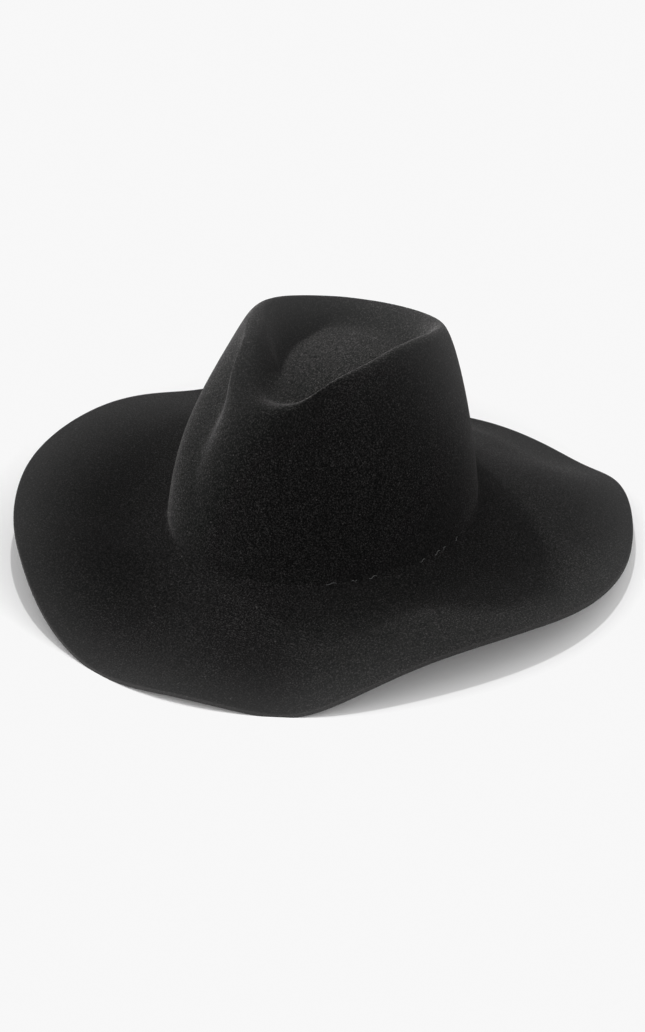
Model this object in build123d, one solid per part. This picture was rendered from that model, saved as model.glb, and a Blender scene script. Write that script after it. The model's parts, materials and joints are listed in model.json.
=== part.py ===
from build123d import *
import os
import numpy as np
from scipy.spatial import cKDTree

# Wide-brimmed western felt hat with sweatband, lining, bow and labels, standing on its brim.
# Millimetres, +Z up, z = 0 is the table, the wearer's front is -Y and the wearer's left is +X.
# Origin: centre of the hat's box in plan, at table level.
# Angles run round the head: 0 front, 90 wearer's left, 180 back, 270 wearer's right.
# In the code, "depth" is measured in plan from the outside of the felt towards the head,
# and "height" is measured up from the crown's foot.

# ---------------------------------------------------------------- felt dimensions
FELT = 2.5                    # felt thickness, crown and brim

# Foot of the crown, outside the felt
HEAD_X = 86.41                # half width
HEAD_Y = 103.34               # half length
HEAD_EGG = -0.0416            # negative: front half of the oval fuller than the back
HEAD_COS3, HEAD_COS4 = -0.0157, 0.0086       # slight unevenness of a worn oval
HEAD_SIN3, HEAD_SIN2 = -0.0158, -0.0227
FOOT_Z = 37.96                # height above the table
FOOT_PITCH, FOOT_ROLL = 3.27, -1.01          # rise per 100 mm backwards and to the left
FOOT_SADDLE = -1.12           # negative: low at front and back

# Brim
BRIM_WIDTH = 94.47            # measured along its slope
BRIM_COS1, BRIM_COS2, BRIM_SIN1 = -3.87, 0.77, 0.59    # width varies round the head
BRIM_SAG = 2.0
BRIM_LINEAR = 0.35            # straight share of the rise from foot to edge
# Height of the top of the brim's edge above the table, every 12 degrees
EDGE_Z = [
    7.38, 5.17, 2.2, 16.99, 31.93, 37.79, 36.25, 29.99, 24.38, 20.33,
    19.05, 19.11, 14.6, 5.6, 2.3, 2.25, 3.2, 11.11, 19.51, 27.5,
    30.15, 37.21, 44.35, 47.99, 49.66, 49.04, 44.16, 36.2, 9.68, 2.3]
# How far the turn from wall to brim reaches, as a share of the wall and of the brim
TURN_WALL, TURN_BRIM = 0.06, 0.042

# Crown ridge: middle in plan, then cosine and sine series of its radius and height
RIDGE_MIDDLE = np.array([-0.3, -10.22])
RIDGE_RADIUS_COS = [62.22, -12.05, 12.87, -0.02, 1.65]
RIDGE_RADIUS_SIN = [1.63, -2.18, -1.12]
RIDGE_HEIGHT_COS = [106.33, -2.11, -11.13, 1.14]       # high at the sides, low front and back
RIDGE_HEIGHT_SIN = [1.81, 0.06]

# Bezier controls of the wall: run towards the ridge, and rise
WALL_BULGE, WALL_LEAN, WALL_RISE = -0.029, 0.486, 0.173

# Two side pinches, on the wearer's left (1) and right (-1). Angles (degrees) and front half
# widths (radians) are given at wall places .5, .75 and 1; 0 is the foot and 1 the ridge.
PINCHES = [
    dict(side=1, angles=(36.5, 36.5, 36.5), front=(0.26, 0.26, 0.26), back=0.42,
         place=0.7645, reach_down=0.28, reach_up=0.28, deep=17.1),
    dict(side=-1, angles=(37.0, 54.0, 68.0), front=(0.26, 0.55, 0.9), back=0.452,
         place=0.70, reach_down=0.21, reach_up=0.245, deep=18.5)]
PINCH_MIN_WIDTH = 0.12        # radians

# Teardrop crease, every 30 degrees, radii from the ridge's middle
CREST_INNER = [59.0, 54.0, 48.0, 49.0, 58.0, 73.0, 83.0, 75.0, 56.0, 38.5, 37.0, 44.0]
FLOOR_OUTLINE = [38.0, 29.0, 26.0, 31.0, 46.0, 63.0, 74.0, 70.5, 46.0, 28.0, 21.5, 26.0]
CREST_MIN, FALL_MIN = 1.5, 3  # least widths of the crest and of the fall to the floor
FALL_START = 0.25             # share of the crest's width where the fall begins
CREST_ROLL = 0.4              # extra height of the rounded crest
FLOOR_HEIGHT = 90.5
FLOOR_TILT = 0.03             # rise per mm backwards
FLOOR_DOME, DOME_X, DOME_Y = 5.0, 42.0, 66.0           # drop at these distances
POLE_RADIUS, POLE_SPAN = 5.0, 62.0           # flat middle, and the ridge radius it is scaled by

PLAN_SHIFT = np.array([-1.65, -3.65, 0.0])   # puts the origin at the box centre

# Rings of the felt surface, counted from the middle of the crown to the brim's edge
TOP_RINGS, WALL_RINGS = 22, 30
RING_POINTS, REFINE = 72, 5   # points of a lofted ring, and samples per point
TURN_RING = TOP_RINGS + WALL_RINGS + 2       # middle of the turn between wall and brim

# ---------------------------------------------------------------- sweatband dimensions
BAND_HEIGHT = 38.0
BAND_THICK = 1.0
BAND_STEPS = [3.3, 16.0, 30.0, BAND_HEIGHT]  # heights where the band's section turns
BAND_OUTER = FELT + 1.5       # depth of the leather's outer face
BAND_INNER = BAND_OUTER + BAND_THICK
REED_RADIUS = 1.6 / 2
TAPE_THICK = 0.35
TAPE_GAP = 0.05               # between reed and tape
TAPE_DEPTH = FELT + 0.85      # depth of the tape's felt side
TAPE_TOP = 9.0
REED_CENTRE = (TAPE_DEPTH + REED_RADIUS + TAPE_THICK + TAPE_GAP, 1.7)    # depth, height
FINE_THREAD = 0.4             # diameter

TAU = 2 * np.pi


# ---------------------------------------------------------------- curves and vectors
def periodic(values, angle):
    """Periodic cubic spline through equally spaced values."""
    count = len(values)
    y = np.array(values, float)
    matrix = np.eye(count) * 4 + np.roll(np.eye(count), 1, 0) + np.roll(np.eye(count), -1, 0)
    bend = np.linalg.solve(matrix, 6 * (np.roll(y, -1) - 2 * y + np.roll(y, 1)))
    place = (np.mod(angle, TAU) / TAU) * count
    i = np.floor(place).astype(int) % count
    f = place - np.floor(place)
    j = (i + 1) % count
    return ((1 - f) * y[i] + f * y[j] + ((1 - f) ** 3 - (1 - f)) * bend[i] / 6
            + (f ** 3 - f) * bend[j] / 6)


def smooth(x):
    x = np.clip(x, 0, 1)
    return x * x * (3 - 2 * x)


def bezier(first, second, t):
    """Cubic Bezier from 0 to 1 with two inner controls."""
    return 3 * first * t * (1 - t) ** 2 + 3 * second * t * t * (1 - t) + t ** 3


def series(cosines, sines, angle):
    return (sum(c * np.cos(k * angle) for k, c in enumerate(cosines))
            + sum(c * np.sin((k + 1) * angle) for k, c in enumerate(sines)))


def parabola(values, t):
    """Parabola through three values at t = .5, .75 and 1."""
    u = (t - 0.5) / 0.25
    return (values[0] * (u - 1) * (u - 2) / 2 - values[1] * u * (u - 2)
            + values[2] * u * (u - 1) / 2)


def arc(centre, radius, start, end, count):
    return [(centre[0] + radius * np.cos(a), centre[1] + radius * np.sin(a))
            for a in np.radians(np.linspace(start, end, count))]


def round_head(count):
    return np.linspace(0, TAU, count + 1)[:-1]


def unit(v):
    return v / np.linalg.norm(v)


def vector(point):
    return Vector(*map(float, point))


# ---------------------------------------------------------------- outside of the felt
def foot_oval(angle):
    x = HEAD_X * np.sin(angle) * (1 - HEAD_EGG * np.cos(angle))
    y = -HEAD_Y * np.cos(angle)
    scale = (1 + HEAD_COS3 * np.cos(3 * angle) + HEAD_COS4 * np.cos(4 * angle)
             + HEAD_SIN3 * np.sin(3 * angle) + HEAD_SIN2 * np.sin(2 * angle))
    return np.stack([x * scale, y * scale], -1)


def foot_curve(angle):
    """Foot of the crown in plan, its height above the table and its outward plan normal."""
    foot = foot_oval(angle)
    along = foot_oval(angle + 1e-4) - foot_oval(angle - 1e-4)
    outward = np.stack([along[:, 1], -along[:, 0]], -1)
    outward /= np.linalg.norm(outward, axis=1)[:, None]
    z = (FOOT_Z + FOOT_PITCH * foot[:, 1] / 100 + FOOT_ROLL * foot[:, 0] / 100
         + FOOT_SADDLE * np.cos(2 * angle))
    return foot, z, outward


def ridge_curve(angle):
    """Ridge of the crown in plan before the pinches, and its height above the table."""
    radius = series(RIDGE_RADIUS_COS, RIDGE_RADIUS_SIN, angle)
    plan = np.stack([radius * np.sin(angle) + RIDGE_MIDDLE[0],
                     RIDGE_MIDDLE[1] - radius * np.cos(angle)], -1)
    return plan, FOOT_Z + series(RIDGE_HEIGHT_COS, RIDGE_HEIGHT_SIN, angle)


def pinch_depth(angle, t):
    total = np.zeros((len(angle), len(t)))
    for p in PINCHES:
        centre = np.radians(parabola(p["angles"], t))[None, :]
        away = np.mod((angle * p["side"])[:, None] - centre + np.pi, TAU) - np.pi
        front = np.maximum(parabola(p["front"], t), PINCH_MIN_WIDTH)[None, :]
        width = np.where(away < 0, front, p["back"])
        reach = np.where(t < p["place"], p["reach_down"], p["reach_up"])[None, :]
        total += (p["deep"] * np.exp(-(away / width) ** 2)
                  * np.exp(-((t[None, :] - p["place"]) / reach) ** 2))
    return total


def wall(angle, t):
    """Crown wall: t = 0 at the foot, 1 at the ridge."""
    foot, foot_z, outward = foot_curve(angle)
    ridge, ridge_z = ridge_curve(angle)
    run = bezier(WALL_BULGE, WALL_LEAN, t)[None, :, None]
    rise = bezier(WALL_RISE, 1, t)[None, :]
    plan = (foot[:, None, :] + (ridge - foot)[:, None, :] * run
            - outward[:, None, :] * pinch_depth(angle, t)[..., None])
    z = foot_z[:, None] + (ridge_z - foot_z)[:, None] * rise
    return np.concatenate([plan, z[..., None]], -1)


def crown_top(angle, inward):
    """Inside the ridge: inward = 0 at the ridge, 1 at the middle of the teardrop."""
    rim = wall(angle, np.array([1.0]))[:, 0]
    rim_z = rim[:, 2][:, None]
    to_middle = RIDGE_MIDDLE - rim[:, :2]
    span = np.linalg.norm(rim[:, :2] - RIDGE_MIDDLE, axis=1)
    plan = rim[:, None, :2] + to_middle[:, None, :] * inward[None, :, None]
    radius = span[:, None] * (1 - inward)[None, :]
    crest = np.minimum(periodic(CREST_INNER, angle), span - CREST_MIN)[:, None]
    floor_edge = np.minimum(periodic(FLOOR_OUTLINE, angle)[:, None], crest - FALL_MIN)
    span = span[:, None]
    start = crest + FALL_START * (span - crest)
    fall = smooth((start - radius) / (start - floor_edge))
    x, y = plan[..., 0] - RIDGE_MIDDLE[0], plan[..., 1] - RIDGE_MIDDLE[1]
    floor_z = (FOOT_Z + FLOOR_HEIGHT + FLOOR_TILT * y
               - FLOOR_DOME * ((x / DOME_X) ** 2 + (y / DOME_Y) ** 2))
    across = np.clip((span - radius) / (span - floor_edge), 0, 1)
    roll = CREST_ROLL * np.sin(np.pi * across)
    z = floor_z + (rim_z - floor_z) * (1 - fall) + roll * (1 - fall)
    return np.concatenate([plan, z[..., None]], -1)


def brim(angle, s):
    """Top of the brim: s = 0 at the crown's foot, 1 at the cut edge."""
    foot, foot_z, outward = foot_curve(angle)
    width = (BRIM_WIDTH + BRIM_COS1 * np.cos(angle) + BRIM_COS2 * np.cos(2 * angle)
             + BRIM_SIN1 * np.sin(angle))
    edge_z = periodic(EDGE_Z, angle)
    run = np.sqrt(width ** 2 - (edge_z - foot_z) ** 2)
    rise = BRIM_LINEAR * s + (1 - BRIM_LINEAR) * smooth(s)
    plan = foot[:, None, :] + outward[:, None, :] * (run[:, None] * s[None, :])[..., None]
    sag = BRIM_SAG * (np.sin(np.pi * np.minimum(s * 1.6, 1)) ** 2)[None, :]
    z = foot_z[:, None] + (edge_z - foot_z)[:, None] * rise[None, :] - sag
    return np.concatenate([plan, z[..., None]], -1)


def outside_rings(angle):
    """All rings of the outside of the felt, indexed by angle and then by ring."""
    pole = 1 - POLE_RADIUS / POLE_SPAN
    inside = crown_top(angle, np.linspace(pole, 0, TOP_RINGS + 1)[:-1])
    side = wall(angle, np.linspace(1, TURN_WALL, WALL_RINGS + 1)[:-1])
    above = wall(angle, np.array([TURN_WALL, 0.0]))
    start, corner = above[:, 0], above[:, 1]
    end = brim(angle, np.array([0.0, TURN_BRIM]))[:, 1]
    turn = np.stack([(1 - u) ** 2 * start + 2 * u * (1 - u) * corner + u * u * end
                     for u in (0.0, 0.25, 0.5, 0.75, 1.0)], 1)
    flat = brim(angle, np.concatenate([np.linspace(0.08, 0.94, 16), [0.972, 0.99, 1.0]]))
    grid = np.concatenate([inside, side, turn, flat], 1)
    grid[:, 0, 2] = grid[:, 0, 2].mean()      # flat middle
    return grid + PLAN_SHIFT


def normals(grid):
    """Normals that point out of the felt."""
    around = np.roll(grid, -1, 0) - np.roll(grid, 1, 0)
    outward = np.gradient(grid, axis=1)
    normal = np.cross(outward, around)
    return normal / np.linalg.norm(normal, axis=2)[..., None]


ANGLES = round_head(RING_POINTS * REFINE)
OUTSIDE = outside_rings(ANGLES)
NORMALS = normals(OUTSIDE)


# ---------------------------------------------------------------- inside of the felt
def blur(field, rounds, step):
    """Smooths a field over the rings and round the head."""
    for _ in range(rounds):
        mixed = field.copy()
        mixed[:, 1:-1] = 0.25 * field[:, :-2] + 0.5 * field[:, 1:-1] + 0.25 * field[:, 2:]
        field = 0.5 * mixed + 0.25 * np.roll(mixed, step, 0) + 0.25 * np.roll(mixed, -step, 0)
    return field


def inside_rings(depth):
    """Rings a given thickness under the outside of the felt, clear of its tight folds."""
    ring_index = np.arange(OUTSIDE.shape[1])
    # 1 over the top and upper wall, fading to 0 lower down the wall
    crown = (1 - smooth((ring_index - 38) / 8.0))[None, :, None]
    soft = blur(NORMALS, 24, 3)
    soft = soft * crown + NORMALS * (1 - crown)
    soft /= np.linalg.norm(soft, axis=2)[..., None]
    fine = np.concatenate([OUTSIDE[:, :-1] * (1 - f) + OUTSIDE[:, 1:] * f
                           for f in (0.0, 0.33)], 1)
    tree = cKDTree(fine.reshape(-1, 3))

    # push out of the felt's thickness, smoothing in all but the last four turns
    points = OUTSIDE - soft * depth
    for turn in range(14):
        near, _ = tree.query(points.reshape(-1, 3))
        lack = np.maximum(depth - near.reshape(points.shape[:2]), 0)[..., None]
        points = points - soft * crown * lack
        if turn < 10:
            blurred = blur(points, 1, 2)
            blurred[:, :9] = points[:, :9]
            points = points * (1 - 0.6 * crown) + blurred * 0.6 * crown

    # under the sharpest part of the ridge the fold is rounded, not folded back on itself
    by_ring = np.exp(-((ring_index - 23) / 3.0) ** 2)[None, :, None]
    by_angle = np.exp(-((np.degrees(ANGLES) - 33) / 13) ** 2)[:, None, None]
    weight = by_ring * by_angle
    points = points * (1 - weight) + blur(points, 24, 1) * weight
    points[:, 0, 2] = points[:, 0, 2].mean()
    return points


# ---------------------------------------------------------------- solids that follow the head
def ring(points):
    """Closed smooth curve through the points of one ring."""
    count = len(points)
    return Wire([Edge.make_spline([vector(p) for p in points], periodic=True,
                                  parameters=[i / count for i in range(count + 1)])])


def at_height(angle, height, depth):
    """Points on the unpinched or pinched wall at a height, moved in by a depth."""
    _, foot_z, outward = foot_curve(angle)
    _, ridge_z = ridge_curve(angle)
    samples = np.linspace(0, 1, 401)
    t = np.interp(np.broadcast_to(height, angle.shape) / (ridge_z - foot_z),
                  bezier(WALL_RISE, 1, samples), samples)
    points = np.stack([wall(angle[k:k + 1], t[k:k + 1])[0, 0] for k in range(len(angle))])
    points[:, :2] -= outward * np.broadcast_to(depth, angle.shape)[:, None]
    points[:, 2] = foot_z + height
    return points + PLAN_SHIFT


def hoop(section, count=48):
    """Closed band whose section, as (depth, height) corners, runs all round the head."""
    rings = [ring(at_height(round_head(count), height, depth)) for depth, height in section]
    loft_shell = Shell.make_loft(rings + [rings[0]], True)
    return Solid(Shell(Face.sew_faces(loft_shell.faces())[0]))


def on_band(angle, heights, depth):
    """Points on the straight-sided section that the sweatband has between its steps."""
    steps = at_height(np.array([angle] * len(BAND_STEPS)), np.array(BAND_STEPS), depth)
    return np.stack([np.interp(heights, BAND_STEPS, steps[:, k]) for k in range(3)], -1)


def patch(start, end, low, high, outer, inner):
    """Thin curved rectangle between two angles, two heights and two depths."""
    heights = np.array([low] + [h for h in BAND_STEPS if low < h < high] + [high])
    wires = []
    for angle in np.radians(np.linspace(start, end, 7)):
        points = np.concatenate([on_band(angle, heights, outer),
                                 on_band(angle, heights[::-1], inner)])
        # every section lies in one upright plane
        outward = foot_curve(np.array([angle]))[2][0]
        across = np.array([-outward[1], outward[0]])
        points[:, :2] -= np.outer((points - points[0])[:, :2] @ across, across)
        wires.append(Wire.make_polygon([vector(p) for p in points], close=True))
    return Solid.make_loft(wires, True)


def thread(start, direction, length, diameter):
    return Solid.make_cylinder(diameter / 2, length,
                               Plane(origin=vector(start), z_dir=vector(direction)))


def stitch(degrees, height, depth, length, lean=0.0):
    """Short straight thread along the band; lean tips it upwards."""
    points = at_height(np.radians(np.array([degrees - 0.4, degrees, degrees + 0.4])),
                       height, depth)
    along = unit(unit(points[2] - points[0]) + np.array([0, 0, lean]))
    return thread(points[1] - along * length / 2, along, length, FINE_THREAD)


# ---------------------------------------------------------------- felt
def felt_body():
    """Crown and brim, cut off level where the felt would dip below the table."""
    under = inside_rings(FELT)
    count = OUTSIDE.shape[1]
    rings = [ring(OUTSIDE[::REFINE, k]) for k in range(count)]
    rings += [ring(under[::REFINE, k]) for k in range(count)][::-1]
    table = Box(600, 600, 60, align=(Align.CENTER, Align.CENTER, Align.MAX))
    return (Solid.make_loft(rings, True) - table).solids()[0]


# ---------------------------------------------------------------- sweatband, reed and tape
def sweatband():
    return hoop([(BAND_OUTER, h) for h in BAND_STEPS]
                + [(BAND_INNER, h) for h in BAND_STEPS[::-1]])


def reed_tape():
    """Tape that hangs on the felt side and wraps under the reed."""
    inner_radius = REED_RADIUS + TAPE_GAP
    return hoop([(TAPE_DEPTH, TAPE_TOP)]
                + arc(REED_CENTRE, inner_radius + TAPE_THICK, 180, 380, 11)
                + arc(REED_CENTRE, inner_radius, 380, 180, 11)
                + [(TAPE_DEPTH + TAPE_THICK, TAPE_TOP)])


def tape_stitches():
    return Compound(children=[stitch(a, 5.4, BAND_INNER + 0.36, 2.6)
                              for a in np.arange(2, 358, 4.5)])


def joint_stitches():
    """Zigzag up the rear joint of the sweatband."""
    return Compound(children=[stitch(180.0, 19 + 2.0 * k, BAND_INNER + 0.42, 3.2,
                                     lean=0.55 * (-1) ** k) for k in range(9)])


def lockstitches():
    """Stitches outside the felt, in the turn between wall and brim."""
    count, length, diameter, clearance = 90, 2.8, 0.5, 0.04
    lift = diameter / 2 + clearance
    crease = OUTSIDE[:, TURN_RING] + NORMALS[:, TURN_RING] * lift
    total = len(crease)
    threads = []
    for k in range(count):
        i = int(round((k + 0.5) * total / count)) % total
        along = unit(crease[(i + 2) % total] - crease[i - 2])
        threads.append(thread(crease[i] - along * length / 2, along, length, diameter))
    return Compound(children=threads)


# ---------------------------------------------------------------- lining
# The cloth hangs clear of the creased crown: a side band that leans in, and an oval tip.
CLOTH = 0.3
LINING_POINTS = 72
# Outer face of the side band: depth, height
LINING_SIDE = [
    (3.1, 12.0), (3.1, 22.0), (3.1, 32.0), (3.15, 39.0),
    (4.6, 45.0), (7.2, 52.0), (10.5, 58.5), (13.5, 62.5)]
PIPING_CENTRE, PIPING_RADIUS = (14.25, 61.8), 0.75
TIP_DEPTH, TIP_HEIGHT, TIP_DROP = 15.1, 63.2, 3.0
TIP_FLAT = 0.93               # share of the way in where the level middle begins


def lining_side_band():
    inner = [(d + CLOTH, h - 0.05) for d, h in LINING_SIDE[::-1]]
    return hoop(LINING_SIDE + inner, LINING_POINTS)


def lining_tip():
    rim = at_height(round_head(LINING_POINTS), TIP_HEIGHT, TIP_DEPTH)
    middle = rim.mean(0) - np.array([0, 0, TIP_DROP])
    rings = []
    for inward in (TIP_FLAT, 0.7, 0.5, 0.3, 0.15, 0.0):
        points = rim * (1 - inward) + middle * inward
        sink = 1.0 if inward == TIP_FLAT else smooth(inward)
        points[:, 2] = rim[:, 2] * (1 - sink) + middle[2] * sink
        rings.append(points)
    rings += [points - np.array([0, 0, CLOTH]) for points in rings[::-1]]
    return Solid.make_loft([ring(points) for points in rings], True)


# ---------------------------------------------------------------- ribbon bow at the rear joint
BOW_LENGTH, BOW_DEPTH, BOW_WIDTH, RIBBON = 17.0, 4.0, 6.0, 0.35
BOW_OVERLAP = 0.3             # how far each loop passes the middle
BOW_PLACE = Location(tuple(map(float, at_height(np.array([np.pi]), 12.5, BAND_INNER + 4.7)[0])))


def bow_loops():
    outline = (SlotOverall(BOW_LENGTH, BOW_DEPTH)
               - SlotOverall(BOW_LENGTH - 2 * RIBBON, BOW_DEPTH - 2 * RIBBON))
    loop = extrude(outline, BOW_WIDTH / 2, both=True)
    shift = BOW_LENGTH / 2 - BOW_OVERLAP
    return (BOW_PLACE * (Pos(-shift, 0, 0) * loop + Pos(shift, 0, 0) * loop)).solids()[0]


def bow_knot():
    outer = Box(3.0, BOW_DEPTH + 0.9, BOW_WIDTH + 0.9)
    hole = Box(3.2, BOW_DEPTH + 0.2, BOW_WIDTH + 0.2)
    return (BOW_PLACE * (outer - hole)).solids()[0]


# ---------------------------------------------------------------- labels, blank
LABEL_WIDTH, LABEL_HEIGHT, LABEL_THICK = 20.0, 22.0, 0.4
LABEL_ANGLE = 150.0
LABEL_TOP = BAND_HEIGHT - 1.6
LABEL_DEPTH = BAND_INNER + 1.25
LABEL_STITCH_PITCH = 5.5
LABEL_STITCH_RADIUS = 95.0    # head radius that turns the pitch into an angle


def care_label():
    """Flat rectangle that hangs inside the sweatband, towards the back on the left."""
    angle = np.radians(np.array([LABEL_ANGLE - 1, LABEL_ANGLE, LABEL_ANGLE + 1]))
    top = at_height(angle, LABEL_TOP, LABEL_DEPTH)
    low = at_height(angle, LABEL_TOP - LABEL_HEIGHT, LABEL_DEPTH)
    across = top[2] - top[0]
    across[2] = 0
    across = unit(across)
    upward = top[1] - low[1]
    upward = unit(upward - across * (upward @ across))
    plane = Plane(origin=vector(top[1]), x_dir=vector(across),
                  z_dir=vector(np.cross(across, upward)))
    label = plane * Pos(0, -LABEL_HEIGHT / 2, 0) * Box(LABEL_WIDTH, LABEL_HEIGHT, LABEL_THICK)
    return label.solids()[0]


def label_stitches():
    """Four upright threads above the care label."""
    marks = []
    for k in range(4):
        turn = np.degrees((k - 1.5) * LABEL_STITCH_PITCH / LABEL_STITCH_RADIUS)
        angle = np.radians(np.array([LABEL_ANGLE + turn]))
        low, high = (at_height(angle, BAND_HEIGHT - drop, BAND_INNER + 0.3)[0]
                     for drop in (1.1, 0.1))
        length = float(np.linalg.norm(high - low))
        marks.append(thread(low, unit(high - low), length, FINE_THREAD))
    return Compound(children=marks)


# ---------------------------------------------------------------- write
PARTS = {
    "felt_body": felt_body(),
    "sweatband": sweatband(),
    "reed_tape": reed_tape(),
    "sweatband_reed": hoop(arc(REED_CENTRE, REED_RADIUS, 0, 330, 12)),
    "sweatband_joint_tape": patch(176.2, 183.8, 10.5, BAND_HEIGHT - 2,
                                  BAND_OUTER - 0.42, BAND_OUTER - 0.08),
    "tape_stitches": tape_stitches(),
    "joint_stitches": joint_stitches(),
    "sweatband_lockstitches": lockstitches(),
    "lining_side_band": lining_side_band(),
    "lining_piping": hoop(arc(PIPING_CENTRE, PIPING_RADIUS, 0, 324, 10), LINING_POINTS),
    "lining_tip": lining_tip(),
    "bow_loops": bow_loops(),
    "bow_knot": bow_knot(),
    "size_label": patch(196, 206, 14, 30, BAND_INNER + 0.1, BAND_INNER + 0.35),
    "care_label": care_label(),
    "label_stitches": label_stitches(),
}
os.makedirs("parts", exist_ok=True)
for name, shape in PARTS.items():
    export_step(shape, f"parts/{name}.step")
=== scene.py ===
"""Wide-brimmed black felt hat with a pinched crown, a teardrop hollow on top and a lined inside.

It stands upright on the floor, z = 0, with its front towards -Y. Angles run round the head from
the front towards +X. Shapes are worked out in millimetres and become metres in mesh_object();
the floor, lights and camera are in metres.
"""
import json
import math
from collections import namedtuple

import bmesh
import bpy
import numpy as np
from mathutils import Matrix, Vector
from mathutils.bvhtree import BVHTree

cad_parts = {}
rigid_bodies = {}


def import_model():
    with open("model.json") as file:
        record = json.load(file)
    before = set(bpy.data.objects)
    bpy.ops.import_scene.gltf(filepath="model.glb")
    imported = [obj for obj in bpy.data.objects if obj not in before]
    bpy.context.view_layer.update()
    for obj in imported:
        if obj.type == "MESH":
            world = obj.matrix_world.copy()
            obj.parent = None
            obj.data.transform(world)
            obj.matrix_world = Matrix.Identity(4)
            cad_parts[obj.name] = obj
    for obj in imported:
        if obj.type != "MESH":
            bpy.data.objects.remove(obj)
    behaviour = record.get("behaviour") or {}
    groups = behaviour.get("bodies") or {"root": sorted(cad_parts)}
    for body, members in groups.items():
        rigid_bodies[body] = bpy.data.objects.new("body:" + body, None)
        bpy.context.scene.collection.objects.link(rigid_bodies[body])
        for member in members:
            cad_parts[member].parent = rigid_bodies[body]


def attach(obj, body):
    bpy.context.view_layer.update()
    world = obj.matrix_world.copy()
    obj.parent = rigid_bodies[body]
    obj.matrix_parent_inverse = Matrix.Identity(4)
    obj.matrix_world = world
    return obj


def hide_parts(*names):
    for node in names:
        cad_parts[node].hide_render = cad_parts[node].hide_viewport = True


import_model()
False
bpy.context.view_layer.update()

TAU = 2 * np.pi
Z_UP = np.array([0, 0, 1.0])

# ------------------------------------------------------------------ shape of the hat, in mm
# "Waves" are (cosine terms from order 0, sine terms from order 1) of the angle round the head.
SHIFT = np.array([-1.65, -3.65, 0.0])    # from the hat's own middle to the CAD origin
FELT = 2.5                               # thickness

# foot: the line where crown and brim meet
HEAD_HALF_WIDTH, HEAD_HALF_LENGTH = 86.41, 103.34
HEAD_EGG = -0.0416                       # change of half width between front and back
HEAD_WAVES = ([1, 0, 0, -0.0157, 0.0086], [0, -0.0227, -0.0158])
FOOT_Z = 37.96
FOOT_PITCH, FOOT_ROLL = 3.27, -1.01      # rise per 100 mm along y and along x
FOOT_SADDLE = -1.12

# brim
BRIM_WIDTH_WAVES = ([94.47, -3.87, 0.77], [0.59])
BRIM_EDGE_Z = [7.38, 5.17, 2.2, 16.99, 31.93, 37.79, 36.25, 29.99, 24.38, 20.33,
               19.05, 19.11, 14.6, 5.6, 2.3, 2.25, 3.2, 11.11, 19.51, 27.5,
               30.15, 37.21, 44.35, 47.99, 49.66, 49.04, 44.16, 36.2, 9.68, 2.3]    # every 12 degrees
BRIM_DIP = 2.0                           # sag of the inner part of the brim
BRIM_DIP_RATE = 1.6                      # the sag ends at 1 / 1.6 of the width
BRIM_LINEAR = 0.35                       # share of the rise that is straight, the rest is eased

# bend between crown and brim: where it starts, as shares of the wall and of the brim
BEND_WALL, BEND_BRIM = 0.05, 0.036

# ridge: the highest line round the crown
RIDGE_RADIUS_WAVES = ([62.22, -12.05, 12.87, -0.02, 1.65], [1.63, -2.18, -1.12])
RIDGE_HEIGHT_WAVES = ([106.33, -2.11, -11.13, 1.14], [1.81, 0.06])    # above FOOT_Z
RIDGE_MIDDLE = np.array([-0.3, -10.22])

# Bezier handles of the wall between foot (0) and ridge (1)
WALL_BULGE, WALL_LEAN = -0.029, 0.486
WALL_RISE = 0.173

# Side pinches. Angles in degrees and front spreads in radians are given at the wall levels 0.5,
# 0.75 and 1; level, down and up place the pinch on the wall and give its reach; depth is in mm.
PINCHES = [
    dict(side=1, angles=(36.5, 36.5, 36.5), front=(0.26, 0.26, 0.26), back=0.42,
         level=0.7645, down=0.28, up=0.28, depth=17.1),
    dict(side=-1, angles=(37.0, 54.0, 68.0), front=(0.26, 0.55, 0.9), back=0.452,
         level=0.70, down=0.21, up=0.245, depth=18.5),
]
MIN_FRONT_SPREAD = 0.12

# top of the crown, both outlines as distances from the ridge middle every 30 degrees
CREST_INNER = [59.0, 54.0, 48.0, 49.0, 58.0, 73.0, 83.0, 75.0, 56.0, 38.5, 37.0, 44.0]
HOLLOW_OUTLINE = [38.0, 29.0, 26.0, 31.0, 46.0, 63.0, 74.0, 70.5, 46.0, 28.0, 21.5, 26.0]
HOLLOW_HEIGHT = 90.5                     # of its floor above FOOT_Z
HOLLOW_SLOPE = 0.03                      # along y
HOLLOW_DOME, DOME_X, DOME_Y = 5.0, 42.0, 66.0    # fall of the floor at these half axes
CREST_ROLL = 0.4                         # extra height of the rim's roll
CREST_START = 0.25                       # where the fall starts, between the crest and the ridge
POLE_SHARE = 2.5 / 62.0                  # open middle of the grid, as a share of the radius

# grid of the felt: rows round the head, columns along the section
ROWS = 360
TOP_COLUMNS, WALL_COLUMNS, BEND_COLUMNS, BRIM_COLUMNS = 44, 66, 9, 74

# cut edge of the felt: rounded corner as (outward, down) in corner radii
CORNER_RADIUS = 0.35
CORNER = [(0.0, 0.0), (0.38, 0.1), (0.8, 0.38), (0.95, 0.9), (1.0, 1.6)]


# ------------------------------------------------------------------ curves
def unit(vectors):
    return vectors / np.linalg.norm(vectors, axis=-1, keepdims=True)


def waves(angles, terms):
    cosines, sines = terms
    return (sum(c * np.cos(k * angles) for k, c in enumerate(cosines))
            + sum(c * np.sin((k + 1) * angles) for k, c in enumerate(sines)))


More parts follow.
